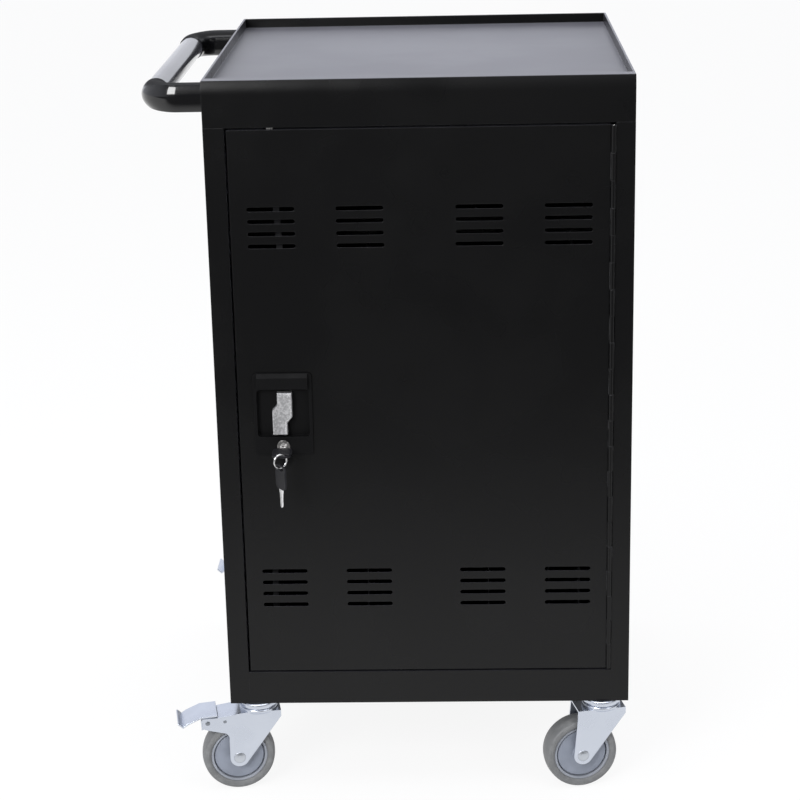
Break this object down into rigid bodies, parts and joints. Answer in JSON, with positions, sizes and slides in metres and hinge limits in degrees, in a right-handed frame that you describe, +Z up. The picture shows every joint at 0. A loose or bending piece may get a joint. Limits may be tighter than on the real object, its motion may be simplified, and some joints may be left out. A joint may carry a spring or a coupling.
{
  "type": "charging cart",
  "caption": "Steel charging cart on swivel casters: tray top, slotted locking front door, rear service door, device shelves, outlet strips and a side push handle.",
  "frame": {"origin": "on the floor, under the middle of the whole cart's outline", "axes": "+Z up; +X to the right of a person facing the front door, away from the push handle; +Y from the front door to the rear door"},
  "size_m": [0.626, 0.635, 0.979],
  "materials": {
    "body_paint": "satin black powder coat",
    "tube_paint": "gloss black enamel on the grip tube",
    "bracket": "gloss black moulded nylon",
    "dish": "fine textured black moulding",
    "grip_zinc": "sand-blasted zinc alloy",
    "plated_steel": "bright zinc plated pressing",
    "bright_steel": "nickel plated",
    "rod_steel": "zinc plated bar",
    "hinge_steel": "black painted rolled hinge",
    "tyre": "grey thermoplastic rubber",
    "hub": "grey polypropylene",
    "key_head": "black moulded key head on a steel blade",
    "strip": "black moulded outlet strip",
    "divider": "dark grey powder coat"
  },
  "bodies": {
    "cabinet": {"left_side": "body_paint", "right_side": "body_paint", "base_pan": "body_paint", "top_cover": "body_paint", "cross_rails": "body_paint", "partition": "body_paint", "lower_shelf": "body_paint", "upper_shelf": "body_paint", "slot_dividers": "divider", "power_strips": "strip", "power_inlet": "strip", "front_handle_bracket": "bracket", "rear_handle_bracket": "bracket", "handle_tube": "tube_paint", "front_hinge_frame_leaf": "hinge_steel", "front_hinge_pin": "rod_steel", "rear_hinge_frame_leaves": "hinge_steel", "rear_hinge_pins": "rod_steel", "caster_nuts": "plated_steel", "front_left_caster_stem": "plated_steel", "front_right_caster_stem": "plated_steel", "rear_left_caster_stem": "plated_steel", "rear_right_caster_stem": "plated_steel"},
    "front_door": {"front_door": "body_paint", "front_hinge_door_leaf": "hinge_steel", "lock_dish": "dish", "rod_guides": "strip"},
    "turn_handle": {"turn_handle": "grip_zinc", "lock_cam": "rod_steel"},
    "upper_rod": {"upper_lock_rod": "rod_steel"},
    "lower_rod": {"lower_lock_rod": "rod_steel"},
    "key": {"lock_plug": "bright_steel", "door_key": "key_head"},
    "ring": {"split_ring": "bright_steel"},
    "spare_key": {"spare_key": "key_head"},
    "rear_door": {"rear_door": "body_paint", "rear_hinge_door_leaves": "hinge_steel", "rear_lock_barrel": "bright_steel"},
    "rear_lock": {"rear_lock_cam": "rod_steel"},
    "front_left_fork": {"front_left_caster_fork": "plated_steel", "front_left_caster_axle": "plated_steel", "front_left_caster_brake_pin": "plated_steel"},
    "front_left_wheel": {"front_left_caster_tyre": "tyre", "front_left_caster_hub": "hub"},
    "front_left_pedal": {"front_left_caster_brake_pedal": "plated_steel"},
    "front_right_fork": {"front_right_caster_fork": "plated_steel", "front_right_caster_axle": "plated_steel"},
    "front_right_wheel": {"front_right_caster_tyre": "tyre", "front_right_caster_hub": "hub"},
    "rear_left_fork": {"rear_left_caster_fork": "plated_steel", "rear_left_caster_axle": "plated_steel", "rear_left_caster_brake_pin": "plated_steel"},
    "rear_left_wheel": {"rear_left_caster_tyre": "tyre", "rear_left_caster_hub": "hub"},
    "rear_left_pedal": {"rear_left_caster_brake_pedal": "plated_steel"},
    "rear_right_fork": {"rear_right_caster_fork": "plated_steel", "rear_right_caster_axle": "plated_steel"},
    "rear_right_wheel": {"rear_right_caster_tyre": "tyre", "rear_right_caster_hub": "hub"}
  },
  "joints": [
    {"name": "front_door_swing", "type": "hinge", "parent": "cabinet", "child": "front_door", "pos_m": [0.2855, -0.2615, 0.548], "axis": [0, 0, 1], "range_deg": [0, 170]},
    {"name": "handle_turn", "type": "hinge", "parent": "front_door", "child": "turn_handle", "pos_m": [-0.1406, -0.2605, 0.5458], "axis": [0, -1, 0], "range_deg": [0, 90]},
    {"name": "upper_rod_slide", "type": "slide", "parent": "front_door", "child": "upper_rod", "axis": [-0.0453, 0, 0.999], "range_m": [0, 0.02838]},
    {"name": "lower_rod_slide", "type": "slide", "parent": "front_door", "child": "lower_rod", "axis": [-0.019, 0, -0.9998], "range_m": [0, 0.02838]},
    {"name": "key_turn", "type": "hinge", "parent": "front_door", "child": "key", "pos_m": [-0.1406, -0.2605, 0.5007], "axis": [0, 1, 0], "range_deg": [0, 90]},
    {"name": "ring_swing", "type": "hinge", "parent": "key", "child": "ring", "pos_m": [-0.1418, -0.3063, 0.50405], "axis": [0.5592, -0.829, 0], "range_deg": [-6, 6]},
    {"name": "spare_key_swing", "type": "hinge", "parent": "ring", "child": "spare_key", "pos_m": [-0.1418, -0.3063, 0.48585], "axis": [0.829, 0.5592, 0], "range_deg": [-20, 20]},
    {"name": "rear_door_swing", "type": "hinge", "parent": "cabinet", "child": "rear_door", "pos_m": [0.2855, 0.3125, 0.548], "axis": [0, 0, -1], "range_deg": [0, 120]},
    {"name": "rear_lock_turn", "type": "hinge", "parent": "rear_door", "child": "rear_lock", "pos_m": [-0.1575, 0.3115, 0.548], "axis": [0, 1, 0], "range_deg": [0, 90]},
    {"name": "front_left_swivel", "type": "hinge", "parent": "cabinet", "child": "front_left_fork", "pos_m": [-0.1915, -0.2395, 0.117], "axis": [0, 0, 1], "continuous": true},
    {"name": "front_left_wheel_spin", "type": "hinge", "parent": "front_left_fork", "child": "front_left_wheel", "pos_m": [-0.22104, -0.24471, 0.05], "axis": [-0.1736, 0.9848, 0], "continuous": true},
    {"name": "front_left_brake_press", "type": "hinge", "parent": "front_left_fork", "child": "front_left_pedal", "pos_m": [-0.26191, -0.25192, 0.1055], "axis": [0.1736, -0.9848, 0], "range_deg": [0, 10]},
    {"name": "front_right_swivel", "type": "hinge", "parent": "cabinet", "child": "front_right_fork", "pos_m": [0.2775, -0.2395, 0.117], "axis": [0, 0, 1], "continuous": true},
    {"name": "front_right_wheel_spin", "type": "hinge", "parent": "front_right_fork", "child": "front_right_wheel", "pos_m": [0.24821, -0.24599, 0.05], "axis": [-0.2164, 0.9763, 0], "continuous": true},
    {"name": "rear_left_swivel", "type": "hinge", "parent": "cabinet", "child": "rear_left_fork", "pos_m": [-0.1915, 0.2905, 0.117], "axis": [0, 0, 1], "continuous": true},
    {"name": "rear_left_wheel_spin", "type": "hinge", "parent": "rear_left_fork", "child": "rear_left_wheel", "pos_m": [-0.2215, 0.2905, 0.05], "axis": [0, 1, 0], "continuous": true},
    {"name": "rear_left_brake_press", "type": "hinge", "parent": "rear_left_fork", "child": "rear_left_pedal", "pos_m": [-0.263, 0.2905, 0.1055], "axis": [0, -1, 0], "range_deg": [0, 10]},
    {"name": "rear_right_swivel", "type": "hinge", "parent": "cabinet", "child": "rear_right_fork", "pos_m": [0.2775, 0.2905, 0.117], "axis": [0, 0, 1], "continuous": true},
    {"name": "rear_right_wheel_spin", "type": "hinge", "parent": "rear_right_fork", "child": "rear_right_wheel", "pos_m": [0.2475, 0.2905, 0.05], "axis": [0, 1, 0], "continuous": true}
  ],
  "couplings": [
    {"joint": "upper_rod_slide", "follows": "handle_turn", "m_per_rad": 0.018006},
    {"joint": "lower_rod_slide", "follows": "handle_turn", "m_per_rad": 0.018006}
  ]
}
